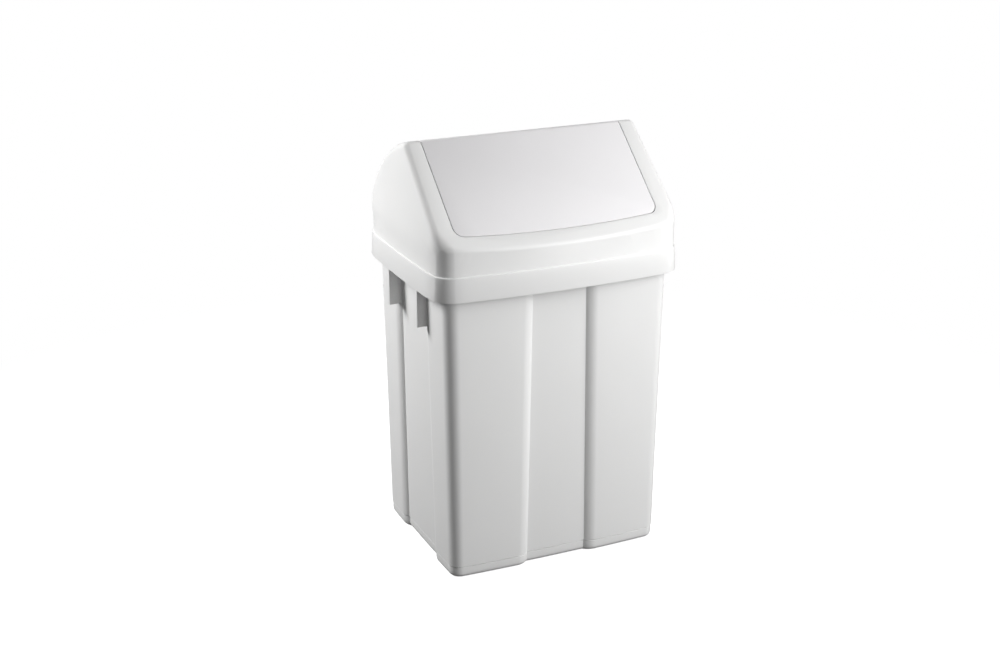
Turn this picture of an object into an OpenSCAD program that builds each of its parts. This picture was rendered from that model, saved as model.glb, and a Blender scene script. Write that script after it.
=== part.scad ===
/* [Tub] */
// Height of the tub to the top of its rim
tub_h = 317.5; // [260:0.5:380]
// Width of the tub across its corners at the floor
base_w = 231; // [216:1:240]
// Depth of the tub across its corners at the floor
base_d = 178.5; // [168:0.5:184]
// Width of the tub across its corners under the rim
top_w = 241; // [236:0.5:246]
// Depth of the tub across its corners under the rim
top_d = 182; // [176:0.5:186]
// Radius of the upright corners at the floor
base_corner_r = 12; // [10:0.5:16]
// Radius of the upright corners under the rim
top_corner_r = 13.5; // [10:0.5:18]
// How far the front and back walls bow outward at mid width
front_bow = 2.8; // [1:0.1:4]
// How far the side walls bow outward at mid depth
side_bow = 1.2; // [0.5:0.1:2]
// Thickness of the tub walls
tub_wall = 2.4; // [1.8:0.1:3]
// Thickness of the tub floor
floor_t = 3; // [2.4:0.1:4]
// Radius of the turn from the floor into the walls, inside
floor_fillet = 4; // [2:0.5:6]

/* [Recessed panels] */
// Half width of the front and back panels at the floor
front_panel_base = 32.7; // [24:0.1:44]
// Half width of the front and back panels under the rim
front_panel_top = 28.4; // [20:0.1:40]
// Depth of the front and back panels
front_panel_depth = 5; // [3:0.1:7]
// Half width of the side panels at the floor
side_panel_base = 38.3; // [30:0.1:42]
// Half width of the side panels under the rim
side_panel_top = 33.3; // [28:0.1:38]
// Depth of the side panels
side_panel_depth = 4.2; // [2.5:0.1:6]
// Radius of the convex turn from a wall into a panel
panel_turn_r = 16; // [12:0.5:20]

/* [Base band] */
// Height of the band round the foot of the tub
band_h = 12.2; // [8:0.1:18]
// How far the band is set in from the wall above
band_step = 0.6; // [0.3:0.1:1.2]
// Radius of the bottom edge
base_edge_r = 3; // [1.5:0.1:5]
// Height by which the middle of the underside is raised
foot_rise = 1; // [0.6:0.1:1.2]
// Width of the foot ring that the tub stands on
foot_ring = 14; // [8:1:24]

/* [Rim and grips] */
// Thickness of the flat rim
rim_t = 2.4; // [1.8:0.1:3.5]
// Height of the lip that hangs from the rim
lip_h = 16; // [8:0.5:20]
// Thickness of that lip
lip_t = 2.2; // [1.6:0.1:3]
// Clear gap between the two fins of a side grip
grip_gap = 70; // [60:1:90]
// Thickness of a grip fin
fin_t = 5.5; // [3:0.1:8]
// Height of a grip fin below the top of the rim
fin_h = 62.5; // [45:0.5:90]

/* [Hood] */
// Width of the skirt across its corners at the bottom
skirt_w = 263.4; // [261:0.2:272]
// Depth of the skirt across its corners at the bottom
skirt_d = 200.8; // [198:0.2:212]
// Height of the skirt
skirt_h = 24.3; // [20:0.1:32]
// How far each side of the skirt narrows towards its top
skirt_draft = 1.2; // [0.4:0.1:1.8]
// Width of the small ledge on top of the skirt
ledge = 1.4; // [0.8:0.1:2]
// Radius of the upright corners of the hood
hood_corner_r = 22; // [19:0.5:28]
// How far the front and back of the hood bow outward
hood_front_bow = 4.5; // [2:0.1:6]
// How far the sides of the hood bow outward
hood_side_bow = 1.8; // [0.8:0.1:3]
// Thickness of the hood shell
hood_wall = 2; // [1.6:0.1:2.4]
// Width of the inner rib that sits on the rim of the tub
seat_rib = 1.8; // [1:0.1:3]
// Height of the upright front wall above the skirt
front_wall_h = 26.4; // [20:0.2:32]
// Height of the ridge above the skirt
hood_rise = 109.5; // [100:0.5:118]
// Slope of the front face
front_slope = 40.7; // [39:0.1:42]
// Radius of the ridge
ridge_r = 6; // [5:0.1:8]
// Radius of the curved back
back_r = 130; // [124:1:142]
// Slope at which the back leaves the ridge
back_start = 14; // [11:0.5:17]
// Radius of the edges along the sides of the hood
edge_r = 6.6; // [5:0.1:9]
// How far each side of the hood leans in at the ridge
side_lean = 3; // [1:0.1:4]

/* [Swing flap] */
// Width of the flap
flap_w = 215; // [190:0.5:217]
// Gap between the flap and the hood at the front and sides
flap_gap = 1.6; // [1.2:0.1:2]
// Gap between the flap and the hood at the back
rear_gap = 2.2; // [1.8:0.1:4]
// Width of the hood's border below the front of the flap
front_border = 14.1; // [11:0.1:20]
// How far the lower edge of the flap bows downward
flap_bow = 5.4; // [3:0.1:6]
// Radius of the flap's lower corners
flap_corner_r = 9; // [6:0.5:14]
// Angle on the curved back at which the flap ends
rear_angle = 61; // [54:0.5:64]
// Thickness of the flap
flap_wall = 2.2; // [1.8:0.1:2.8]
// Depth of the turned-in edge round the flap
flange_depth = 7; // [5:0.5:9]
// Thickness of that edge
flange_t = 2; // [1.6:0.1:2.6]
// Radius of the fan-shaped plates that carry the pins
gusset_r = 46; // [36:1:54]
// Thickness of those plates
gusset_t = 2.4; // [2:0.1:4]

/* [Pivot] */
// Distance of the pivot behind the ridge, where the flap balances, negative is in front
pivot_back = -0.52; // [-3:0.01:3]
// Depth of the pivot below the top of the ridge
pivot_drop = 13; // [12:0.1:17]
// Diameter of the pivot pins
pin_d = 6; // [5:0.1:7]
// Radial clearance of a pin in the hood
pin_clear = 0.05; // [0.02:0.01:0.1]
// Diameter of the pin heads
pin_head_d = 10; // [8:0.1:12]
// Thickness of the pin heads
pin_head_t = 2; // [1.5:0.1:3]
// Wall round a pivot hole
boss_wall = 3.2; // [2.5:0.1:4]
// Length of a pivot hole in the flap
boss_l = 5; // [4:0.1:8]
// Length of a pivot hole in the hood
lug_t = 4; // [3:0.1:6]

/* [Hidden] */
white = [0.93, 0.93, 0.92];
cool_white = [0.89, 0.88, 0.89];
natural = [0.85, 0.85, 0.83];
seat_gap = 0.3;
rim_clear = 0.5;
web_clear = 0.4;
web_t = 2;
web_depth = 12;
pin_end = 1.5;
sliver = 0.01;
reach = 400;
fine = 96;
very_fine = 720;
corner_steps = 6;
turn_steps = 4;
sphere_fn = 24;

// Heights and half sizes that several pieces share
skirt_top = tub_h + seat_gap + hood_wall;
skirt_bottom = skirt_top - skirt_h;
skirt_hw = skirt_w / 2;
skirt_hd = skirt_d / 2;
hood_inset = skirt_draft + ledge;
hood_hw = skirt_hw - hood_inset;
hood_hd = skirt_hd - hood_inset;
rim_inset = skirt_draft + hood_wall + rim_clear;
fin_end = skirt_hw - rim_inset + hood_side_bow;

// Side view of the hood as [y, z]: front foot, ridge and centre of the curved back
foot = [-hood_hd, skirt_top + front_wall_h];
up_slope = [cos(front_slope), sin(front_slope)];
slope_out = [-sin(front_slope), cos(front_slope)];
ridge_top = skirt_top + hood_rise;
ridge_z = ridge_top - ridge_r;
ridge_y = (slope_out[1] * (ridge_z - foot[1]) + ridge_r) / sin(front_slope) + foot[0];
ridge = [ridge_y, ridge_z];
back_out = [sin(back_start), cos(back_start)];
back_c = ridge + (ridge_r - back_r) * back_out;
edge_corner = inset_corner(edge_r);

// Pivot of the flap, and the places along X of what it joins
pivot = [ridge_y + pivot_back, ridge_top - pivot_drop];
boss_d = pin_d + 2 * boss_wall;
half_flap = flap_w / 2;
boss_x = half_flap - boss_l;
web_x = half_flap + flap_gap + web_clear;
pin_tip = web_x + lug_t + pin_end;

function lerp(a, b, t) = a + (b - a) * t;

// How far a wall stands out at distance t from its middle
function bow_at(bow, t, half) = bow * (1 - pow(t / half, 2));

// Width of the turn from a wall into a panel
function turn_width(r, depth) = sqrt(2 * r * depth - depth * depth);

// Depth of a wall at distance t from the middle of its panel
function panel_at(t, start, r, depth) =
    let (u = start - abs(t))
    u <= 0 ? 0 : u >= turn_width(r, depth) ? depth : r - sqrt(r * r - u * u);

// Places along one wall of the tub where its outline has points
function wall_places(half, start, r, depth) =
    let (
        turn = [for (i = [0:turn_steps]) start - turn_width(r, depth) * i / turn_steps],
        outer = concat([half, (half + start) / 2], turn),
        count = len(outer)
    )
    concat([for (t = outer) -t], [0], [for (i = [1:count]) outer[count - i]]);

// One wall of the tub as [along, outward] points
function wall_line(half, side, out, bow, start, r, depth) = [
    for (t = wall_places(half, start, r, depth))
        [t, out + bow_at(bow, t, side) - panel_at(t, start, r, depth)]
];

// Points of a corner between two walls, as [outward x, outward y]
function corner_points(r) = [for (i = [1:corner_steps - 1]) let (a = 90 * i / corner_steps) r * [cos(a), sin(a)]];

// Four walls and four corners joined to one closed outline
function closed_outline(front, side, corner, cx, cy) =
    let (turned = [for (i = [len(corner) - 1:-1:0]) corner[i]])
    concat(
        [for (p = front) [p[0], -p[1]]],
        [for (p = turned) [cx + p[0], -cy - p[1]]],
        [for (p = side) [p[1], p[0]]],
        [for (p = corner) [cx + p[0], cy + p[1]]],
        [for (p = front) [-p[0], p[1]]],
        [for (p = turned) [-cx - p[0], cy + p[1]]],
        [for (p = side) [-p[1], -p[0]]],
        [for (p = corner) [-cx - p[0], -cy - p[1]]]
    );

// Outline of the tub at height z, set in by inset
function tub_outline(z, inset) =
    let (
        t = z / tub_h,
        hw = lerp(base_w, top_w, t) / 2,
        hd = lerp(base_d, top_d, t) / 2,
        r = lerp(base_corner_r, top_corner_r, t),
        front_start = lerp(front_panel_base, front_panel_top, t) + turn_width(panel_turn_r, front_panel_depth),
        side_start = lerp(side_panel_base, side_panel_top, t) + turn_width(panel_turn_r, side_panel_depth),
        turn_r = panel_turn_r - inset,
        front = wall_line(hw - r, hw, hd - inset, front_bow, front_start, turn_r, front_panel_depth),
        side = wall_line(hd - r, hd, hw - inset, side_bow, side_start, turn_r, side_panel_depth),
        bows = [bow_at(side_bow, hd - r, hd), bow_at(front_bow, hw - r, hw)],
        corner = [for (p = corner_points(1)) [p[0] * (r - inset + bows[0]), p[1] * (r - inset + bows[1])]]
    )
    closed_outline(front, side, corner, hw - r, hd - r);

// Outline of the hood, its skirt and the rim of the tub, set in by inset
function bowed_outline(hw, hd, inset) =
    let (
        places = [for (i = [-4:4]) i / 4],
        cx = hw - hood_corner_r,
        cy = hd - hood_corner_r,
        front = [for (t = places) [cx * t, hd - inset + bow_at(hood_front_bow, t, 1)]],
        side = [for (t = places) [cy * t, hw - inset + bow_at(hood_side_bow, t, 1)]]
    )
    closed_outline(front, side, corner_points(hood_corner_r - inset), cx, cy);

// Solid through a stack of outlines, each given as [height, points]
module loft(rings) {
    n = len(rings[0][1]);
    last = len(rings) - 1;
    points = [for (ring = rings) for (p = ring[1]) [p[0], p[1], ring[0]]];
    sides = [
        for (k = [0:last - 1])
            for (i = [0:n - 1])
                let (a = k * n + i, b = k * n + (i + 1) % n)
                each [[a, a + n, b], [b, a + n, b + n]]
    ];
    bottom = [for (i = [0:n - 1]) i];
    top = [for (i = [n - 1:-1:0]) last * n + i];
    polyhedron(points = points, faces = concat([bottom, top], sides), convexity = 10);
}

// Corner of the side view where the front plane and the curved back, both set in by t, meet
function inset_corner(t) =
    let (
        d = slope_out * (foot - back_c) - t,
        r = back_r - t
    )
    back_c + d * slope_out + sqrt(r * r - d * d) * up_slope;

// How far a side of the hood leans in at height z
function lean_at(z) = side_lean * max(0, z - foot[1]) / (ridge_top - foot[1]);

// Height of the middle of a round edge, at depth y, that touches the front plane
function bend_z(y) = (slope_out * foot - edge_r - slope_out[0] * y) / slope_out[1];

module tub_outside() {
    bottom = [
        for (a = [0:30:90])
            let (z = base_edge_r * (1 - cos(a)))
            [z, tub_outline(z, band_step + base_edge_r * (1 - sin(a)))]
    ];
    under_rim = tub_h - rim_t / 2;
    loft(concat(bottom, [
        [band_h, tub_outline(band_h, band_step)],
        [band_h + band_step, tub_outline(band_h + band_step, 0)],
        [under_rim, tub_outline(under_rim, 0)]
    ]));
}

module tub_inside() {
    middle = floor_t + floor_fillet * (1 - cos(45));
    top = tub_h + 1;
    loft([
        [floor_t, tub_outline(floor_t, tub_wall + floor_fillet)],
        [middle, tub_outline(middle, tub_wall + floor_fillet * (1 - sin(45)))],
        [floor_t + floor_fillet, tub_outline(floor_t + floor_fillet, tub_wall)],
        [top, tub_outline(top, tub_wall)]
    ]);
}

module rim() {
    outer = bowed_outline(skirt_hw, skirt_hd, rim_inset);
    inner = bowed_outline(skirt_hw, skirt_hd, rim_inset + lip_t);
    difference() {
        loft([[tub_h - lip_h, outer], [tub_h, outer]]);
        loft([[tub_h - lip_h - 1, inner], [tub_h - rim_t, inner]]);
    }
}

module grip_fins() {
    start = top_w / 2 - side_panel_depth - tub_wall;
    for (side = [0, 1])
        for (y = [-(grip_gap / 2 + fin_t), grip_gap / 2])
            mirror([side, 0, 0])
                translate([start, y, tub_h - fin_h])
                    cube([fin_end - start, fin_t, fin_h - rim_t * 0.7]);
}

module tub() {
    foot_w = base_w - 2 * (foot_ring + base_edge_r);
    foot_d = base_d - 2 * (foot_ring + base_edge_r);
    color(white)
        difference() {
            union() {
                tub_outside();
                rim();
                grip_fins();
            }
            tub_inside();
            translate([-foot_w / 2, -foot_d / 2, -1])
                cube([foot_w, foot_d, foot_rise + 1]);
        }
}

// Side view of the hood above its skirt, set in by t
module side_view(t) {
    corner = inset_corner(t);
    r = ridge_r - t;
    difference() {
        intersection() {
            translate(back_c)
                circle(r = back_r - t, $fn = very_fine);
            translate(foot - t * slope_out)
                rotate(front_slope)
                    translate([-reach, -2 * reach])
                        square([2 * reach, 2 * reach]);
        }
        if (r > 0)
            polygon([ridge, ridge + r * slope_out, 2 * corner - ridge, ridge + r * back_out]);
    }
    if (r > 0)
        translate(ridge)
            circle(r = r, $fn = fine);
}

// Slab along X from a side view in [y, z]
module across(x0, x1) {
    translate([x0, 0, 0])
        rotate([90, 0, 90])
            linear_extrude(x1 - x0)
                children();
}

// Round bar along X at the pivot
module pivot_bar(d, x0, x1) {
    translate([x0, pivot[0], pivot[1]])
        rotate([0, 90, 0])
            cylinder(d = d, h = x1 - x0, $fn = fine);
}

// End of a strip as [across, outward] points, bowed outward and with round corners
function end_line(half, bow, r) =
    let (
        right = concat(
            [for (i = [1:8]) (half - r) * i / 8],
            [for (a = [15:15:90]) half - r + r * sin(a)]
        ),
        places = concat([for (i = [len(right) - 1:-1:0]) -right[i]], [0], right)
    )
    [
        for (x = places)
            let (u = max(0, abs(x) - half + r))
            [x, bow_at(bow, x, half) - r + sqrt(max(0, r * r - u * u))]
    ];

// Shape of the flap on the front plane, with y up the slope from the foot
module front_outline(grow) {
    half = half_flap + grow;
    low = front_border + flap_gap - grow;
    line = [for (p = end_line(half, flap_bow, flap_corner_r + grow)) [p[0], low - p[1]]];
    polygon(concat(line, [[half, reach], [-half, reach]]));
}

// Shape of the flap's rear wing, with y towards its end
module rear_outline(grow) {
    half = half_flap + grow;
    end = grow * rear_gap / flap_gap;
    line = [for (p = end_line(half, 0, flap_corner_r + grow)) [p[0], end + p[1]]];
    polygon(concat(line, [[half, -reach], [-half, -reach]]));
}

// Everything over the space that the flap covers, grown by a margin
module flap_space(grow) {
    intersection() {
        translate([0, foot[0], foot[1]])
            rotate([front_slope, 0, 0])
                translate([0, 0, -reach])
                    linear_extrude(2 * reach)
                        front_outline(grow);
        translate([0, back_c[0], back_c[1]])
            rotate([-rear_angle, 0, 0])
                translate([0, 0, -reach])
                    linear_extrude(2 * reach)
                        rear_outline(grow);
    }
}

module flap() {
    side = half_flap + 1;
    color(cool_white)
        difference() {
            intersection() {
                flap_space(0);
                union() {
                    across(-side, side)
                        difference() {
                            side_view(0);
                            side_view(flap_wall);
                        }
                    difference() {
                        across(-side, side)
                            difference() {
                                side_view(flap_wall / 2);
                                side_view(flange_depth);
                            }
                        flap_space(-flange_t);
                    }
                    for (turn = [0, 1])
                        mirror([turn, 0, 0]) {
                            across(half_flap - gusset_t, side)
                                intersection() {
                                    side_view(flap_wall / 2);
                                    translate(pivot)
                                        circle(r = gusset_r, $fn = very_fine);
                                }
                            pivot_bar(boss_d, boss_x, side);
                        }
                }
            }
            for (turn = [0, 1])
                mirror([turn, 0, 0])
                    pivot_bar(pin_d, boss_x - 1, side + 1);
        }
}

module pivot_pin(turn) {
    color(natural)
        mirror([turn, 0, 0]) {
            pivot_bar(pin_d, boss_x, pin_tip);
            pivot_bar(pin_head_d, boss_x - pin_head_t, boss_x);
        }
}

// Outer form of the hood above its skirt, set in by t
module hood_form(t, from) {
    r = edge_r - t;
    back_angle = asin((edge_corner[0] - back_c[0]) / (back_r - edge_r));
    side_x = hood_hw - edge_r;
    corner_x = hood_hw - hood_corner_r;
    corner_y = hood_hd - hood_corner_r;
    turn = hood_corner_r - edge_r;
    hull() {
        for (z = [from, foot[1] - edge_r])
            translate([0, 0, z])
                linear_extrude(sliver)
                    polygon(bowed_outline(hood_hw, hood_hd - (z > skirt_top ? side_lean : 0), t));
        for (side = [-1, 1]) {
            for (a = [0:7]) {
                angle = lerp(back_angle, 80, a / 7);
                y = back_c[0] + (back_r - edge_r) * sin(angle);
                z = back_c[1] + (back_r - edge_r) * cos(angle);
                translate([side * (side_x - lean_at(z)), y, z])
                    sphere(r = r, $fn = sphere_fn);
            }
            for (a = [0:22.5:90]) {
                y = -corner_y - turn * cos(a);
                translate([side * (corner_x + turn * sin(a)), y, bend_z(y)])
                    sphere(r = r, $fn = sphere_fn);
            }
        }
        for (i = [-1:0.5:1]) {
            y = edge_r - hood_hd - bow_at(hood_front_bow, i, 1);
            translate([corner_x * i * 0.95, y, bend_z(y)])
                sphere(r = r, $fn = sphere_fn);
        }
        across(side_lean - side_x, side_x - side_lean)
            translate(ridge)
                circle(r = ridge_r - t, $fn = fine / 2);
    }
}

// Upright web along a side of the opening, with the lug that holds a pin
module opening_web() {
    low = back_c[1] + back_r * cos(rear_angle) - web_depth;
    neck = boss_d * 0.9;
    across(web_x, web_x + web_t)
        intersection() {
            difference() {
                side_view(hood_wall / 2);
                side_view(web_depth);
            }
            translate([-reach, low])
                square([2 * reach, reach]);
        }
    across(web_x, web_x + lug_t)
        intersection() {
            side_view(hood_wall / 2);
            union() {
                translate(pivot)
                    circle(d = boss_d, $fn = fine);
                translate([pivot[0] - neck / 2, pivot[1]])
                    square([neck, pivot_drop]);
            }
        }
}

module hood() {
    seat = skirt_top - hood_wall;
    color(white)
        difference() {
            union() {
                difference() {
                    union() {
                        loft([
                            [skirt_bottom, bowed_outline(skirt_hw, skirt_hd, 0)],
                            [skirt_top, bowed_outline(skirt_hw, skirt_hd, skirt_draft)]
                        ]);
                        hood_form(0, skirt_top - hood_wall / 2);
                    }
                    loft([
                        [skirt_bottom - 1, bowed_outline(skirt_hw, skirt_hd, hood_wall)],
                        [seat, bowed_outline(skirt_hw, skirt_hd, hood_wall + skirt_draft)]
                    ]);
                    loft([
                        [seat - 1, bowed_outline(hood_hw, hood_hd, hood_wall + seat_rib)],
                        [skirt_top + 1, bowed_outline(hood_hw, hood_hd, hood_wall + seat_rib)]
                    ]);
                    hood_form(hood_wall, skirt_top);
                }
                for (turn = [0, 1])
                    mirror([turn, 0, 0])
                        opening_web();
            }
            flap_space(flap_gap);
            for (turn = [0, 1])
                mirror([turn, 0, 0])
                    pivot_bar(pin_d + 2 * pin_clear, web_x - 1, web_x + lug_t + 1);
        }
}

tub();
hood();
flap();
pivot_pin(1);  // pivot_pin_left
pivot_pin(0);  // pivot_pin_right
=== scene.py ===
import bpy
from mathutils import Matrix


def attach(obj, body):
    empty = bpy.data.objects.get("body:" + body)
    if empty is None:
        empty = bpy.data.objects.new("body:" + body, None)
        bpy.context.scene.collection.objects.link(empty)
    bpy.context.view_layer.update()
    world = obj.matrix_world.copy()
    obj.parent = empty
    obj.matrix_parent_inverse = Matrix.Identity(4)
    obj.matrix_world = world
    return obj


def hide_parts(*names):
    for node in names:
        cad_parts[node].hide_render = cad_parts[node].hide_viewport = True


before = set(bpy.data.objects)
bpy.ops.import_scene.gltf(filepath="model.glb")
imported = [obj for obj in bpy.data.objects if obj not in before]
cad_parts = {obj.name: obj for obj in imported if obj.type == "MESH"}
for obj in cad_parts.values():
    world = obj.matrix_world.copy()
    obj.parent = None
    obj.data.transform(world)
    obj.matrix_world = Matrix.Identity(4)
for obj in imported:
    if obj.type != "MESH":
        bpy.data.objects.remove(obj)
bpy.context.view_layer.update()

import math

import bmesh
import bpy
from mathutils import Vector

# sizes below are in millimetres, heights are measured from the ground, and the front faces -Y
mm = 0.001
mergeWithin = 0.004 * mm  # points closer than this become one
sliverUnder = 0.002 * mm  # edges shorter than this are closed up
creaseDegrees = 32  # edges bent more than this are shaded crisp
crispDegrees = 48  # edges bent more than this are softened
scene = bpy.context.scene


def mix(a, b, t):
    return a + (b - a) * t


def smooth(t):
    t = min(1.0, max(0.0, t))
    return t * t * (3 - 2 * t)


def fadeAt(z, fade):
    start, span = fade
    return smooth((z - start) / span)


def bowAt(bow, place, half):
    # how far a bowed wall stands out at this place along it
    return bow * (1 - (place / half) ** 2)


def quarterTurn(steps, first=0):
    return [math.radians(90 * i / steps) for i in range(first, steps + 1)]


def softMin(a, b, softness):
    # the lesser of two values, with a round valley between them
    h = max(softness - abs(a - b), 0) / softness
    return min(a, b) - h * h * softness / 4


def roundMin(a, b, radius):
    # the lesser of two depths, with a round edge of this radius between them
    u, v = radius - a, radius - b
    return radius - (math.hypot(u, v) if u > 0 and v > 0 else max(u, v))


def placeVerts(verts, places):
    for vert, place in zip(verts, places):
        vert.co = Vector(place) * mm


def newVerts(made):
    return [item for item in made["geom"] if isinstance(item, bmesh.types.BMVert)]


def closedEdges(bm, loop):
    return [bm.edges.get(pair) for pair in zip(loop, loop[1:] + loop[:1])]


def putInOrder(bm):
    # some operators leave edges and faces in an order that changes from run to run
    bm.verts.index_update()
    count = len(bm.verts)

    def rank(item):
        places = [v.index for v in item.verts]
        return min(places) * count + max(places)

    for items in (bm.edges, bm.faces):
        items.sort(key=rank)
        items.index_update()


def skinRings(bm, rings, capped=False):
    # one closed loop, pulled on through a list of loops with the same number of points
    loop = bmesh.ops.create_circle(bm, cap_ends=capped, segments=len(rings[0]), radius=1)["verts"]
    placeVerts(loop, rings[0])
    for ring in rings[1:]:
        fresh = set(newVerts(bmesh.ops.extrude_edge_only(bm, edges=closedEdges(bm, loop))))
        loop = [next(e.other_vert(v) for e in v.link_edges if e.other_vert(v) in fresh) for v in loop]
        placeVerts(loop, ring)
    if capped:
        bmesh.ops.contextual_create(bm, geom=closedEdges(bm, loop))
    putInOrder(bm)


def softenEdges(bm, edges, radius, segments=3, clamp=False):
    bmesh.ops.bevel(
        bm, geom=edges, offset=radius * mm, offset_type="OFFSET", segments=segments,
        profile=0.5, affect="EDGES", material=-1, clamp_overlap=clamp,
    )


def edgesOver(bm, degrees):
    bent = math.radians(degrees)
    return [e for e in bm.edges if len(e.link_faces) == 2 and e.calc_face_angle() > bent]


def roundedBlock(bm, low, high, edge):
    # a box between two corners with softened edges
    made = bmesh.ops.create_cube(bm, size=1)["verts"]
    bmesh.ops.scale(bm, vec=(Vector(high) - Vector(low)) * mm, verts=made)
    bmesh.ops.translate(bm, vec=(Vector(low) + Vector(high)) / 2 * mm, verts=made)
    edges = dict.fromkeys(e for v in made for e in v.link_edges)  # each once, in a fixed order
    softenEdges(bm, list(edges), edge, clamp=True)


def finishMesh(bm, name, material):
    putInOrder(bm)
    bmesh.ops.remove_doubles(bm, verts=bm.verts, dist=mergeWithin)
    bmesh.ops.dissolve_degenerate(bm, dist=sliverUnder, edges=bm.edges)
    bmesh.ops.recalc_face_normals(bm, faces=bm.faces)
    mesh = bpy.data.meshes.new(name)
    bm.to_mesh(mesh)
    bm.free()
    for face in mesh.polygons:
        face.use_smooth = True
    mesh.set_sharp_from_angle(angle=math.radians(creaseDegrees))
    if material:
        mesh.materials.append(material)
    piece = bpy.data.objects.new(name, mesh)
    scene.collection.objects.link(piece)
    return piece


def combine(piece, tool, operation):
    # an exact boolean that stays in the mesh, after which the tool is taken away
    step = piece.modifiers.new("step", "BOOLEAN")
    step.operation = operation
    step.solver = "EXACT"
    step.object = tool
    graph = bpy.context.evaluated_depsgraph_get()
    mesh = bpy.data.meshes.new_from_object(piece.evaluated_get(graph))
    piece.modifiers.clear()
    old = piece.data
    piece.data = mesh
    mesh.name = piece.name
    bpy.data.meshes.remove(old)
    bpy.data.objects.remove(tool)


plasticLook = {
    "colour": (0.80, 0.80, 0.795), "shade": (0.775, 0.775, 0.77),
    "cloudScale": 14, "cloudDetail": 3,
    "roughLow": 0.30, "roughHigh": 0.42,
    "streakScale": 22, "streakDetail": 5, "streakStretch": 0.35,
    "skinScale": 900, "skinDetail": 2, "skinStrength": 0.06, "skinDepth": 0.0003,
    "refraction": 1.49, "specular": 0.5,
    "glow": 0.08, "glowSpread": (1.0, 0.95, 0.9), "glowDepth": 0.0015,
}
hoodLook = {**plasticLook, "roughLow": 0.27, "roughHigh": 0.38}
flapLook = {
    **plasticLook, "colour": (0.79, 0.78, 0.79), "shade": (0.77, 0.76, 0.77),
    "roughLow": 0.36, "roughHigh": 0.46,
}
pinLook = {**plasticLook, "colour": (0.72, 0.72, 0.70), "shade": (0.68, 0.68, 0.66)}


def noiseOn(nodes, links, vector, scale, detail):
    noise = nodes.new("ShaderNodeTexNoise")
    noise.inputs["Scale"].default_value = scale
    noise.inputs["Detail"].default_value = detail
    links.new(vector, noise.inputs["Vector"])
    return noise.outputs["Fac"]


def mouldedPlastic(name, look):
    # injection moulded polypropylene: a faint clouding, a fine skin and soft gloss
    material = bpy.data.materials.new(name)
    material.use_nodes = True
    nodes, links = material.node_tree.nodes, material.node_tree.links
    shader = nodes["Principled BSDF"]
    place = nodes.new("ShaderNodeTexCoord").outputs["Object"]

    clouds = noiseOn(nodes, links, place, look["cloudScale"], look["cloudDetail"])
    tint = nodes.new("ShaderNodeMix")
    tint.data_type = "RGBA"
    tint.inputs[6].default_value = (*look["shade"], 1)  # colour A
    tint.inputs[7].default_value = (*look["colour"], 1)  # colour B
    links.new(clouds, tint.inputs[0])
    links.new(tint.outputs[2], shader.inputs["Base Color"])

    stretch = nodes.new("ShaderNodeMapping")
    stretch.inputs["Scale"].default_value = (1, 1, look["streakStretch"])
    links.new(place, stretch.inputs["Vector"])
    streaks = noiseOn(nodes, links, stretch.outputs["Vector"], look["streakScale"], look["streakDetail"])
    gloss = nodes.new("ShaderNodeMapRange")
    gloss.inputs["To Min"].default_value = look["roughLow"]
    gloss.inputs["To Max"].default_value = look["roughHigh"]
    links.new(streaks, gloss.inputs["Value"])
    links.new(gloss.outputs["Result"], shader.inputs["Roughness"])

    skin = noiseOn(nodes, links, place, look["skinScale"], look["skinDetail"])
    bump = nodes.new("ShaderNodeBump")
    bump.inputs["Strength"].default_value = look["skinStrength"]
    bump.inputs["Distance"].default_value = look["skinDepth"]
    links.new(skin, bump.inputs["Height"])
    links.new(bump.outputs["Normal"], shader.inputs["Normal"])

    shader.inputs["IOR"].default_value = look["refraction"]
    shader.inputs["Specular IOR Level"].default_value = look["specular"]
    shader.inputs["Subsurface Weight"].default_value = look["glow"]
    shader.inputs["Subsurface Radius"].default_value = look["glowSpread"]
    shader.inputs["Subsurface Scale"].default_value = look["glowDepth"]
    return material


tubPlastic = mouldedPlastic("tubPlastic", plasticLook)
hoodPlastic = mouldedPlastic("hoodPlastic", hoodLook)
flapPlastic = mouldedPlastic("flapPlastic", flapLook)
pinPlastic = mouldedPlastic("pinPlastic", pinLook)
print("materials ready")


tubSize = {
    "height": 317.5,
    "baseWidth": 231, "baseDepth": 178.5, "topWidth": 241, "topDepth": 182,
    "baseCorner": 12, "topCorner": 13.5,
    "frontBow": 2.8, "sideBow": 1.2,
    "wall": 2.4, "floor": 3, "floorFillet": 4,
    "frontPanel": (32.7, 28.4, 5),  # half width at the base and at the top, and depth
    "sidePanel": (38.3, 33.3, 4.2),
    "panelTurn": 16,
    "bandHeight": 12.2, "bandStep": 0.6, "bandGroove": 0.7, "baseEdge": 5,
    "footHalf": (98.5, 72.25), "footCorner": 8, "footRise": 1, "footSlope": 1,
    "rimThick": 2.4, "rimFillet": 1.2, "lipHeight": 16, "lipThick": 2.2, "edgeSoft": 0.7,
    "gripGap": 70, "finThick": 5.5, "finHeight": 62.5, "finEnd": 129.8, "finEdge": 0.7,
    "finInset": 0.4, "finLap": 0.6,
    "outerHeights": (16, 50, 90, 130, 170, 210, 250, 290),
    "innerHeights": (250, 190, 130, 70),
    "cornerSteps": 10, "turnSteps": 9, "straightSteps": 3,
}
rimPlan = {"halfWidth": 128.0, "halfDepth": 96.7, "corner": 18.3, "frontBow": 4.5, "sideBow": 1.8}


def turnWidth(radius, depth):
    # width of the round step at the edge of a recessed panel
    return math.sqrt(2 * radius * depth - depth * depth)


def panelAt(place, start, radius, depth):
    # how far a wall is recessed at this place along it
    u = start - abs(place)
    if u <= 0:
        return 0
    return depth if u >= turnWidth(radius, depth) else radius - math.sqrt(radius * radius - u * u)


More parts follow.
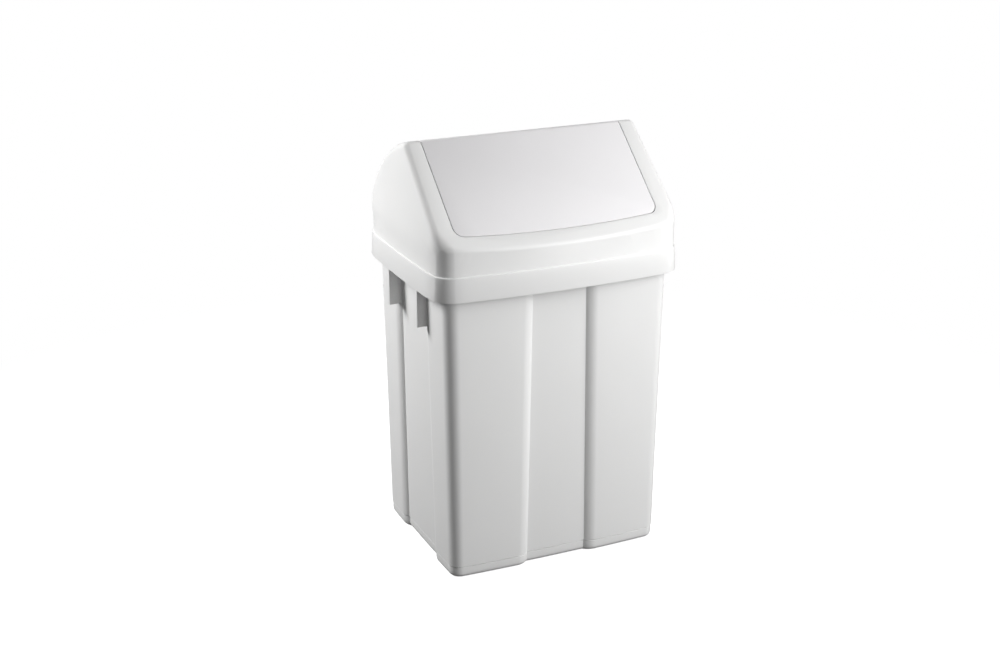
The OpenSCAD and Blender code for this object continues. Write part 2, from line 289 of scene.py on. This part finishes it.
def wallPlaces(half, start, radius, depth):
    # from one end of a wall to the other, closer together in the turns
    turns, straights = tubSize["turnSteps"], tubSize["straightSteps"]
    turn = [start - turnWidth(radius, depth) * i / turns for i in range(turns + 1)]
    right = [mix(half, start, i / straights) for i in range(straights)] + turn + [turn[-1] / 2]
    return [-t for t in right] + [0] + right[::-1]


def cornerArc(rx, ry):
    steps = tubSize["cornerSteps"]
    turn = [math.pi / 2 * i / steps for i in range(1, steps)]
    return [(rx * math.cos(a), ry * math.sin(a)) for a in turn]


def joinWalls(front, side, corner, cx, cy):
    # front and side hold (along, outward) points, corner holds points about its centre
    back = corner[::-1]
    return (
        [(t, -out) for t, out in front]
        + [(cx + x, -cy - y) for x, y in back]
        + [(out, t) for t, out in side]
        + [(cx + x, cy + y) for x, y in corner]
        + [(-t, out) for t, out in front]
        + [(-cx - x, cy + y) for x, y in back]
        + [(-out, -t) for t, out in side]
        + [(-cx - x, -cy - y) for x, y in corner]
    )


def tubWalls(z):
    s = tubSize
    t = z / s["height"]
    hw, hd = mix(s["baseWidth"], s["topWidth"], t) / 2, mix(s["baseDepth"], s["topDepth"], t) / 2
    r = mix(s["baseCorner"], s["topCorner"], t)
    starts = [
        mix(base, top, t) + turnWidth(s["panelTurn"], depth)
        for base, top, depth in (s["frontPanel"], s["sidePanel"])
    ]
    front = wallPlaces(hw - r, starts[0], s["panelTurn"], s["frontPanel"][2])
    side = wallPlaces(hd - r, starts[1], s["panelTurn"], s["sidePanel"][2])
    return hw, hd, r, starts, front, side


def tubOutline(z, inset=0):
    # the outline of the tub at a height, this far inside its outer face
    s = tubSize
    hw, hd, r, starts, frontPlaces, sidePlaces = tubWalls(z)

    def wall(places, half, bow, bowHalf, start, panel):
        return [
            (t, half - inset + bowAt(bow, t, bowHalf) - panelAt(t, start, s["panelTurn"], panel[2]))
            for t in places
        ]

    front = wall(frontPlaces, hd, s["frontBow"], hw, starts[0], s["frontPanel"])
    side = wall(sidePlaces, hw, s["sideBow"], hd, starts[1], s["sidePanel"])
    rx = r - inset + bowAt(s["sideBow"], hd - r, hd)
    ry = r - inset + bowAt(s["frontBow"], hw - r, hw)
    return [(x, y, z) for x, y in joinWalls(front, side, cornerArc(rx, ry), hw - r, hd - r)]


def plainOutline(z, hw, hd, r, frontBow=0, sideBow=0, inset=0):
    # an outline with no panels, with its points opposite those of the tub
    *_, frontPlaces, sidePlaces = tubWalls(z)
    frontHalf, sideHalf = frontPlaces[-1], sidePlaces[-1]
    cx, cy = hw - r, hd - r
    front = [(t / frontHalf * cx, hd - inset + bowAt(frontBow, t, frontHalf)) for t in frontPlaces]
    side = [(t / sideHalf * cy, hw - inset + bowAt(sideBow, t, sideHalf)) for t in sidePlaces]
    return [(x, y, z) for x, y in joinWalls(front, side, cornerArc(r - inset, r - inset), cx, cy)]


def rimOutline(z, inset=0):
    p = rimPlan
    return plainOutline(z, p["halfWidth"], p["halfDepth"], p["corner"], p["frontBow"], p["sideBow"], inset)


def addFins(bm):
    # the two grip fins on each side wall
    s = tubSize
    top = s["height"]
    start = s["topWidth"] / 2 - s["sidePanel"][2] - s["wall"] + s["finInset"]
    for side in (-1, 1):
        for y in (-s["gripGap"] / 2 - s["finThick"], s["gripGap"] / 2):
            near, far = sorted((side * start, side * s["finEnd"]))
            low = (near, y, top - s["finHeight"])
            high = (far, y + s["finThick"], top - s["rimThick"] + s["finLap"])
            roundedBlock(bm, low, high, s["finEdge"])


def makeTub():
    s = tubSize
    top, wall, lip, soft = s["height"], s["wall"], s["lipThick"], s["edgeSoft"]
    under, lipEnd = top - s["rimThick"], top - s["lipHeight"]
    ease = 0.3 * soft
    footX, footY = s["footHalf"]
    rings = [
        plainOutline(s["footRise"], footX - s["footSlope"], footY - s["footSlope"], s["footCorner"]),
        plainOutline(0, footX, footY, s["footCorner"]),
    ]
    step, edge = s["bandStep"], s["baseEdge"]
    rings += [tubOutline(edge * (1 - math.cos(a)), step + edge * (1 - math.sin(a))) for a in quarterTurn(5)]
    # the line above the base band, as height from the line and depth under the wall
    groove = step + s["bandGroove"]
    bandLine = [
        (-4.2, step), (-1.2, step), (-0.7, step), (-0.5, step + 0.15), (-0.3, groove),
        (0.1, groove), (0.3, 0.3), (0.5, 0), (1, 0),
    ]
    rings += [tubOutline(s["bandHeight"] + rise, depth) for rise, depth in bandLine]
    fillet = s["rimFillet"]
    rings += [tubOutline(z) for z in (*s["outerHeights"], under - fillet)]
    rings += [tubOutline(under - fillet / 3, -fillet / 3), tubOutline(under, -fillet)]
    # out under the rim, down and up the hanging lip, and over the rim
    rings += [rimOutline(under, lip + soft), rimOutline(under - soft, lip)]
    rings += [rimOutline(lipEnd + soft, lip), rimOutline(lipEnd, lip - soft)]
    rings += [rimOutline(lipEnd, soft), rimOutline(lipEnd + soft, 0)]
    rings += [rimOutline(top - soft, 0), rimOutline(top - ease, ease), rimOutline(top, soft)]
    rings += [tubOutline(top, wall - soft), tubOutline(top - ease, wall - ease)]
    # down the inner wall and round into the floor
    fillet = s["floorFillet"]
    rings += [tubOutline(z, wall) for z in (top - soft, *s["innerHeights"], s["floor"] + fillet)]
    rings += [
        tubOutline(s["floor"] + fillet * (1 - math.sin(a)), wall + fillet * (1 - math.cos(a)))
        for a in quarterTurn(3, first=1)
    ]
    bm = bmesh.new()
    skinRings(bm, rings, capped=True)
    addFins(bm)
    return finishMesh(bm, "tubShell", tubPlastic)


tubShell = makeTub()
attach(tubShell, "tub")
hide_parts("tub")
print("tub ready")


hoodSize = {
    "halfWidth": 129.1, "halfDepth": 97.8, "corner": 22, "wall": 2.0,
    "frontBow": 4.5, "bowHalf": 107.1, "backBow": 2.1, "sideBow": 1.8,
    "skirtTop": 319.8, "skirtBottom": 295.5, "ledge": 1.4, "ledgeEdge": 0.85, "draft": 1.2,
    "foot": 346.2, "slope": math.radians(40.7), "ridgeTop": 429.3, "ridgeSoft": 2.7,
    "bendEdge": 1.6, "edge": 6.6, "lean": 3.0,
    "backCentre": (-28.96, 302.983), "backRadius": 130.0,
    "seatRib": 1.8, "seatHeight": 317.8,
    # the height at which a form starts to fade, and over how much
    "sideBowFade": (332, 60), "backBowFade": (320, 42), "edgeFade": (328, 40),
    # the lines inside from which the skin is reached
    "core": 13.7, "coreX": 113, "ridgeCore": (2.978, 414.812), "topAngle": math.radians(103.4),
    "ledgeRise": 0.7, "ledgeHold": 0.35, "castReach": 45.0, "castHalvings": 34,
    "wallSteps": 4, "bendSteps": 14, "slopeSteps": 20, "ridgeSteps": 8, "levelSteps": 4,
    "acrossSteps": 26, "edgeSteps": 20, "sideSteps": 9, "bendGather": 1.9, "edgeGather": 1.35,
}
flapSize = {
    "halfWidth": 107.5, "border": 14.1, "bow": 5.4, "corner": 9, "cornerSteps": 10, "cutSteps": 16,
    "gap": 1.6, "seenGap": 0.6, "rearGap": 2.2, "rearAngle": math.radians(61),
    "edgeSoft": 0.5, "openingSoft": 0.5,
    "openingLow": 345, "openingHalf": 109, "skinWithin": 0.25,  # where the cut edge is looked for
}
pivotSize = {
    "y": 0.518, "z": 416.3, "hole": 3.05, "boss": 6.2, "neck": 5.58,
    "lugStart": 109.5, "lug": 4, "webThick": 2, "webDepth": 12, "webLow": 354,
    "soft": 0.35, "ridgeSoft": 2.4,
    "bossSteps": 40, "holeSteps": 48, "webSteps": 60, "lugSteps": 12,
}


def hoodDepth(x, y, z):
    # depth of a point under the outer skin of the hood, negative outside
    h = hoodSize
    by, bz = h["backCentre"]
    rise = min(1.0, max(0.0, (z - h["foot"]) / (h["ridgeTop"] - h["foot"])))
    sideBow = max(0, bowAt(h["sideBow"], y, h["halfDepth"])) * (1 - fadeAt(z, h["sideBowFade"]))
    side = h["halfWidth"] + sideBow - h["lean"] * rise - abs(x)
    bow = max(0, bowAt(h["frontBow"], x, h["bowHalf"]))
    front = y + h["halfDepth"] + bow
    slope = math.sin(h["slope"]) * (y + h["halfDepth"]) - math.cos(h["slope"]) * (z - h["foot"])
    backBow = (bow - h["backBow"]) * (1 - fadeAt(z, h["backBowFade"]))
    back = h["backRadius"] + backBow - math.hypot(y - by, z - bz)
    roof = softMin(slope, back, h["ridgeSoft"])
    if y > 0:
        return roundMin(side, roof, mix(h["corner"], h["edge"], fadeAt(z, h["edgeFade"])))
    walls = roundMin(side, front, h["corner"])
    u, v = max(0.0, h["corner"] - side), max(0.0, h["corner"] - front)
    sideways = u / math.hypot(u, v) if u + v > 0 else 0  # 0 on the front wall, 1 on a side
    return roundMin(walls, roof, mix(h["bendEdge"], h["edge"], smooth(sideways)))


def castToSkin(base, direction, depth):
    # from inside along a line to the place that lies this deep under the skin
    near, far = 0.0, hoodSize["castReach"]
    for _ in range(hoodSize["castHalvings"]):
        middle = (near + far) / 2
        place = [b + d * middle for b, d in zip(base, direction)]
        if hoodDepth(*place) > depth:
            near = middle
        else:
            far = middle
    return [b + d * near for b, d in zip(base, direction)]


def gathered(t, power):
    # a share from 0 to 1 whose steps are closer together in the middle
    side = 2 * t - 1
    return 0.5 + 0.5 * math.copysign(abs(side) ** power, side)


def frontRows():
    # base points and outward directions in the side view, from the ledge up to the ridge
    h = hoodSize
    coreY = h["core"] - h["halfDepth"]
    coreZ = h["foot"] + (math.sin(h["slope"]) * h["core"] - h["core"]) / math.cos(h["slope"])
    ridgeY, ridgeZ = h["ridgeCore"]
    wallAngle, slopeAngle = math.pi, math.pi / 2 + h["slope"]
    lowest = h["skirtTop"] + h["ledgeRise"]
    rows = [((coreY, lowest), wallAngle)]
    for i in range(h["wallSteps"]):
        z = mix(lowest + h["ledgeHold"], coreZ, i / (h["wallSteps"] - 1))
        rows.append(((coreY, z), wallAngle))
    for i in range(1, h["bendSteps"] + 1):
        t = gathered(i / h["bendSteps"], h["bendGather"])
        rows.append(((coreY, coreZ), mix(wallAngle, slopeAngle, t)))
    for i in range(1, h["slopeSteps"] + 1):
        t = i / h["slopeSteps"]
        rows.append(((mix(coreY, ridgeY, t), mix(coreZ, ridgeZ, t)), slopeAngle))
    for i in range(1, h["ridgeSteps"] + 1):
        rows.append(((ridgeY, ridgeZ), mix(slopeAngle, h["topAngle"], i / h["ridgeSteps"])))
    return rows


def backRows(count):
    # the same number of rows up the curved back
    h = hoodSize
    by, bz = h["backCentre"]
    ridgeY, ridgeZ = h["ridgeCore"]
    radius = h["backRadius"] - h["core"]
    lowAngle = math.asin((h["skirtTop"] + h["ledgeRise"] - bz) / radius)
    highAngle = math.acos((ridgeY - by) / radius)
    steps = count - h["ridgeSteps"]
    rows = []
    for i in range(steps):
        a = lowAngle if i == 0 else mix(lowAngle + h["ledgeHold"] / radius, highAngle, (i - 1) / (steps - 2))
        base = (by + radius * math.cos(a), bz + radius * math.sin(a))
        rows.append((base, a * smooth(i / h["levelSteps"])))
    for i in range(1, h["ridgeSteps"] + 1):
        rows.append(((ridgeY, ridgeZ), mix(highAngle, h["topAngle"], i / h["ridgeSteps"])))
    return rows


def hoodRing(frontRow, backRow, depth):
    # one loop round the hood through a front row and a back row
    h = hoodSize
    coreX, acrossSteps, edgeSteps, sideSteps = h["coreX"], h["acrossSteps"], h["edgeSteps"], h["sideSteps"]
    across = [mix(-coreX, coreX, i / acrossSteps) for i in range(acrossSteps + 1)]
    turn = [math.pi / 2 * gathered(i / edgeSteps, h["edgeGather"]) for i in range(1, edgeSteps + 1)]
    alongSide = [i / (sideSteps + 1) for i in range(1, sideSteps + 1)]

    def wall(row, sign):
        (y, z), a = row
        return [castToSkin((sign * x, y, z), (0, math.cos(a), math.sin(a)), depth) for x in across]

    def edge(row, sign, angles):
        (y, z), a = row
        made = []
        for t in angles:
            out = (sign * math.sin(t), math.cos(t) * math.cos(a), math.cos(t) * math.sin(a))
            made.append(castToSkin((sign * coreX, y, z), out, depth))
        return made

    def side(rowFrom, rowTo, sign):
        (ya, za), (yb, zb) = rowFrom[0], rowTo[0]
        return [
            castToSkin((sign * coreX, mix(ya, yb, t), mix(za, zb, t)), (sign, 0, 0), depth)
            for t in alongSide
        ]

    ring = []
    for sign, row, other in ((1, frontRow, backRow), (-1, backRow, frontRow)):
        ring += wall(row, sign) + edge(row, sign, turn)
        ring += side(row, other, sign) + edge(other, sign, turn[::-1])
    return ring


def shifted(ring, out, z):
    # a loop moved outward in plan and set at one height
    made = []
    for i, (x, y, _) in enumerate(ring):
        before, after = ring[i - 1], ring[(i + 1) % len(ring)]
        dx, dy = after[0] - before[0], after[1] - before[1]
        size = math.hypot(dx, dy)
        made.append((x + out * dy / size, y - out * dx / size, z))
    return made


def prismFrom(name, places, push, rounded, radius):
    # a flat outline with some corners rounded, pushed to a solid
    bm = bmesh.new()
    verts = bmesh.ops.create_circle(bm, cap_ends=True, segments=len(places), radius=1)["verts"]
    placeVerts(verts, places)
    bmesh.ops.bevel(
        bm, geom=[verts[i] for i in rounded], offset=radius * mm, offset_type="OFFSET",
        segments=flapSize["cornerSteps"], profile=0.5, affect="VERTICES", material=-1, clamp_overlap=False,
    )
    made = bmesh.ops.extrude_face_region(bm, geom=list(bm.faces))
    bmesh.ops.translate(bm, vec=push * mm, verts=newVerts(made))
    return finishMesh(bm, name, None)


def openingCutter(gap, rearGap):
    # the space of the flap grown by its gap, as a solid to cut with
    f, h = flapSize, hoodSize
    half, corner, steps = f["halfWidth"] + gap, f["corner"] + gap, f["cutSteps"]
    low = f["border"] + f["gap"] - gap
    up = Vector((0, math.cos(h["slope"]), math.sin(h["slope"])))
    out = Vector((0, -math.sin(h["slope"]), math.cos(h["slope"])))
    foot = Vector((0, -h["halfDepth"], h["foot"]))
    beyond, under, through = 260, 100, 200  # well past the ridge and both sides of the skin
    across = [mix(-half, half, i / steps) for i in range(steps + 1)]
    outline = [(x, low - bowAt(f["bow"], x, half)) for x in across] + [(half, beyond), (-half, beyond)]
    places = [Vector((x, 0, 0)) + foot + up * s - out * under for x, s in outline]
    front = prismFrom("cutFront", places, out * through, (0, steps), corner)
    by, bz = h["backCentre"]
    centre = Vector((0, by, bz))
    a = f["rearAngle"]
    along = Vector((0, math.cos(a), -math.sin(a)))
    away = Vector((0, math.sin(a), math.cos(a)))
    beyond, under, through = 300, 160, 400
    outline = [(-half, rearGap), (half, rearGap), (half, -beyond), (-half, -beyond)]
    places = [Vector((x, 0, 0)) + centre + along * s - away * under for x, s in outline]
    rear = prismFrom("cutRear", places, away * through, (0, 1), corner)
    combine(front, rear, "INTERSECT")
    return front


def frontHeight(y, depth):
    # height of the sloping front at this place, this deep under the skin
    h = hoodSize
    along = (y + h["halfDepth"] - depth * math.sin(h["slope"])) / math.cos(h["slope"])
    return h["foot"] + along * math.sin(h["slope"]) - depth * math.cos(h["slope"])


def backHeight(y, depth):
    by, bz = hoodSize["backCentre"]
    return bz + math.sqrt((hoodSize["backRadius"] - depth) ** 2 - (y - by) ** 2)


def underSkin(depth, yFrom, yTo, steps):
    # a line under the skin in the side view, the lower of front and back
    soft = pivotSize["ridgeSoft"]
    places = [mix(yFrom, yTo, i / steps) for i in range(steps + 1)]
    return [(y, softMin(frontHeight(y, depth), backHeight(y, depth), soft)) for y in places]


def circleAt(radius, angles):
    p = pivotSize
    return [(p["y"] + radius * math.cos(a), p["z"] + radius * math.sin(a)) for a in angles]


def slabAcross(bm, loops, x0, x1, soft):
    # closed loops in the side view, filled between and given a thickness along X
    part = bmesh.new()
    for loop in loops:
        verts = bmesh.ops.create_circle(part, cap_ends=False, segments=len(loop), radius=1)["verts"]
        placeVerts(verts, [(x0, y, z) for y, z in loop])
    bmesh.ops.triangle_fill(part, use_beauty=True, use_dissolve=False, edges=part.edges[:])
    made = bmesh.ops.extrude_face_region(part, geom=list(part.faces))
    bmesh.ops.translate(part, vec=Vector((x1 - x0, 0, 0)) * mm, verts=newVerts(made))
    putInOrder(part)
    softenEdges(part, edgesOver(part, crispDegrees), soft, segments=2, clamp=True)
    putInOrder(part)
    mesh = bpy.data.meshes.new("slab")
    part.to_mesh(mesh)
    part.free()
    bm.from_mesh(mesh)
    bpy.data.meshes.remove(mesh)


def webEdge(depth):
    # the line of a web this deep under the skin, from its low front end to its low rear end
    p, h = pivotSize, hoodSize
    by, bz = h["backCentre"]
    radius = h["backRadius"] - depth
    along = (p["webLow"] - h["foot"] + depth * math.cos(h["slope"])) / math.sin(h["slope"])
    start = along * math.cos(h["slope"]) - h["halfDepth"] + depth * math.sin(h["slope"])
    return underSkin(depth, start, by + math.sqrt(radius ** 2 - (p["webLow"] - bz) ** 2), p["webSteps"])


def addWebs(bm):
    # an upright web along each side of the opening, with the lug that holds a pin
    p = pivotSize
    midWall = hoodSize["wall"] / 2
    web = webEdge(midWall) + webEdge(p["webDepth"])[::-1]
    neckAngle = math.acos(p["neck"] / p["boss"])
    roundBoss = [mix(neckAngle, -math.pi - neckAngle, i / p["bossSteps"]) for i in range(p["bossSteps"] + 1)]
    neckTop = underSkin(midWall, p["y"] - p["neck"], p["y"] + p["neck"], p["lugSteps"])
    lug = circleAt(p["boss"], roundBoss) + neckTop
    hole = circleAt(p["hole"], [2 * math.pi * i / p["holeSteps"] for i in range(p["holeSteps"])])
    for side in (-1, 1):
        start = side * p["lugStart"]
        slabAcross(bm, [web], start, start + side * p["webThick"], p["soft"])
        slabAcross(bm, [lug, hole], start, start + side * p["lug"], p["soft"])


def softenOpening(bm):
    # round over the cut edge on the outer skin
    f = flapSize
    flatDegrees, cutDegrees = 0.2, 60
    bmesh.ops.dissolve_limit(bm, angle_limit=math.radians(flatDegrees), verts=bm.verts, edges=bm.edges)

    def onSkin(vert):
        x, y, z = vert.co / mm
        inside = z > f["openingLow"] and abs(x) < f["openingHalf"]
        return inside and abs(hoodDepth(x, y, z)) < f["skinWithin"]

    cutEdges = [e for e in edgesOver(bm, cutDegrees) if all(onSkin(v) for v in e.verts)]
    softenEdges(bm, cutEdges, f["openingSoft"])


def skirtSteps():
    # the shell below its upright walls, as steps of outward place and height
    h = hoodSize
    top, bottom, wall, ledge, round = h["skirtTop"], h["skirtBottom"], h["wall"], h["ledge"], h["ledgeEdge"]
    wide = ledge + h["draft"]
    seat, rib = h["seatHeight"], -h["wall"] - h["seatRib"]
    # out over the ledge and round its edge
    steps = [(0.08, top + 0.25), (0.25, top + 0.08), (0.45, top)]
    for a in (0, 0.4, 0.8, 1.2, 1.57):
        steps.append((ledge - round * (1 - math.sin(a)), top - round * (1 - math.cos(a))))
    steps += [(ledge + 0.02, top - 1.2)]
    # down the skirt, round its lower edge and up inside
    steps += [(mix(ledge, wide, t), mix(top, bottom, t)) for t in (0.2, 0.5, 0.8, 0.94, 0.97)]
    steps += [(wide - 0.15, bottom + 0.15), (wide - 0.6, bottom)]
    steps += [(wide - 1.4, bottom), (wide - 1.85, bottom + 0.15), (wide - wall, bottom + 0.7)]
    steps += [(ledge - wall + 0.1, seat - 0.3), (ledge - wall - 0.2, seat)]
    # round the rib that sits on the rim of the tub
    steps += [(rib + 0.3, seat), (rib, seat + 0.3), (rib, top - 0.3), (rib + 0.3, top)]
    steps += [(-wall - 0.3, top)]
    return steps


def makeHood():
    front = frontRows()
    rows = list(zip(front, backRows(len(front))))
    outer = [hoodRing(*row, 0) for row in rows]
    inner = [hoodRing(*row, hoodSize["wall"]) for row in rows]
    rings = outer[::-1] + [shifted(outer[0], out, z) for out, z in skirtSteps()] + inner
    bm = bmesh.new()
    skinRings(bm, rings)
    shell = finishMesh(bm, "hoodUncut", None)
    combine(shell, openingCutter(flapSize["seenGap"], flapSize["rearGap"]), "DIFFERENCE")
    bm = bmesh.new()
    bm.from_mesh(shell.data)
    bpy.data.objects.remove(shell)
    softenOpening(bm)
    addWebs(bm)
    return finishMesh(bm, "hoodShell", hoodPlastic)


hoodShell = makeHood()
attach(hoodShell, "hood")
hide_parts("hood")
print("hood ready")


def makeFlap():
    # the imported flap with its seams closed, flat faces joined and every edge softened
    flatDegrees = 0.4
    bm = bmesh.new()
    bm.from_mesh(bpy.data.objects["flap"].data)
    bmesh.ops.remove_doubles(bm, verts=bm.verts, dist=sliverUnder)
    bmesh.ops.dissolve_limit(bm, angle_limit=math.radians(flatDegrees), verts=bm.verts, edges=bm.edges)
    softenEdges(bm, edgesOver(bm, crispDegrees), flapSize["edgeSoft"])
    return finishMesh(bm, "flapPanel", flapPlastic)


flapPanel = makeFlap()
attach(flapPanel, "flap")
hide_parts("flap")
for nodeName in ("pivot_pin_left", "pivot_pin_right"):
    pinMesh = bpy.data.objects[nodeName].data
    pinMesh.materials.clear()
    pinMesh.materials.append(pinPlastic)
print("flap and pins ready")


def seenRays(nodes, links):
    # 1 for rays from the camera and for rays that passed through something clear
    rays = nodes.new("ShaderNodeLightPath")
    either = nodes.new("ShaderNodeMath")
    either.operation = "MAXIMUM"
    links.new(rays.outputs["Is Camera Ray"], either.inputs[0])
    links.new(rays.outputs["Is Transmission Ray"], either.inputs[1])
    return either.outputs[0]


def mixShaders(nodes, links, share, first, second):
    both = nodes.new("ShaderNodeMixShader")
    for socket, source in zip(both.inputs, (share, first, second)):
        links.new(source, socket)
    return both.outputs[0]


# metres, and shares of light
floorLook = {"size": 6.0, "shadowed": 0.5, "glow": 0.82, "bounce": 0.08, "fadeFrom": 0.3, "fadeTo": 0.85}


def paleFloor(look):
    # a white ground that still takes the shadow near the object, and gives little light back
    material = bpy.data.materials.new("paleFloor")
    material.use_nodes = True
    nodes, links = material.node_tree.nodes, material.node_tree.links
    nodes.remove(nodes["Principled BSDF"])

    def matt(grey):
        shader = nodes.new("ShaderNodeBsdfDiffuse")
        shader.inputs["Color"].default_value = (grey, grey, grey, 1)
        return shader.outputs[0]

    def shining(strength):
        shader = nodes.new("ShaderNodeEmission")
        shader.inputs["Strength"].default_value = strength
        return shader.outputs[0]

    near = nodes.new("ShaderNodeAddShader")
    links.new(matt(look["shadowed"]), near.inputs[0])
    links.new(shining(look["glow"]), near.inputs[1])
    place = nodes.new("ShaderNodeTexCoord")
    length = nodes.new("ShaderNodeVectorMath")
    length.operation = "LENGTH"
    links.new(place.outputs["Object"], length.inputs[0])
    fade = nodes.new("ShaderNodeMapRange")
    fade.interpolation_type = "SMOOTHSTEP"
    fade.inputs["From Min"].default_value = look["fadeFrom"]
    fade.inputs["From Max"].default_value = look["fadeTo"]
    links.new(length.outputs["Value"], fade.inputs["Value"])
    ground = mixShaders(nodes, links, fade.outputs["Result"], near.outputs[0], shining(1))
    both = mixShaders(nodes, links, seenRays(nodes, links), matt(look["bounce"]), ground)
    links.new(both, nodes["Material Output"].inputs["Surface"])
    return material


floorMesh = bmesh.new()
bmesh.ops.create_grid(floorMesh, x_segments=2, y_segments=2, size=floorLook["size"])
floor = finishMesh(floorMesh, "floor", paleFloor(floorLook))

worldLook = {"lights": 0.02, "seen": 1}


def makeWorld(look):
    # white where it is seen, dim where it lights
    world = bpy.data.worlds.new("studio")
    scene.world = world
    world.use_nodes = True
    nodes, links = world.node_tree.nodes, world.node_tree.links
    ambient, backdrop = nodes["Background"], nodes.new("ShaderNodeBackground")
    for background, strength in ((ambient, look["lights"]), (backdrop, look["seen"])):
        background.inputs["Color"].default_value = (1, 1, 1, 1)
        background.inputs["Strength"].default_value = strength
    both = mixShaders(nodes, links, seenRays(nodes, links), ambient.outputs[0], backdrop.outputs[0])
    links.new(both, nodes["World Output"].inputs["Surface"])


makeWorld(worldLook)

# degrees from the front towards the right, degrees up, distance, width and height in metres, watts
lamps = {
    "right": (48, 21, 1.25, 0.8, 0.9, 14.0),
    "rightNear": (25, 14, 0.75, 0.35, 0.35, 1.35),
    "leftRear": (-130, 28, 1.15, 0.45, 0.5, 18.0),
    "overhead": (45, 60, 1.5, 0.8, 0.8, 3.5),
    "fill": (-25, 10, 1.3, 0.8, 1.0, 2.4),
}
notMirrored = "leftRear"  # this lamp lights the plastic but isn't mirrored in it
lampAim = Vector((0, 0, 0.24))


def hangLamps(aim):
    for name, (azimuth, elevation, distance, width, height, watts) in lamps.items():
        data = bpy.data.lights.new(name, "AREA")
        data.shape = "RECTANGLE"
        data.size, data.size_y = width, height
        data.energy = watts
        lamp = bpy.data.objects.new(name, data)
        a, e = math.radians(azimuth), math.radians(elevation)
        away = Vector((math.sin(a) * math.cos(e), -math.cos(a) * math.cos(e), math.sin(e)))
        lamp.location = aim + away * distance
        lamp.rotation_euler = (-away).to_track_quat("-Z", "Y").to_euler()
        lamp.visible_glossy = name != notMirrored
        scene.collection.objects.link(lamp)


hangLamps(lampAim)

cameraPlace = {
    "sensor": 36, "lens": 56.26,
    "location": (-0.64788, -1.37190, 0.76800),
    "tilt": 70.015, "turn": -24.474,
}
cameraData = bpy.data.cameras.new("camera")
cameraData.sensor_width = cameraPlace["sensor"]
cameraData.lens = cameraPlace["lens"]
camera = bpy.data.objects.new("camera", cameraData)
camera.location = cameraPlace["location"]
camera.rotation_euler = (math.radians(cameraPlace["tilt"]), 0, math.radians(cameraPlace["turn"]))
scene.collection.objects.link(camera)
scene.camera = camera
scene.view_settings.view_transform = "Standard"
print("floor, light and camera ready")
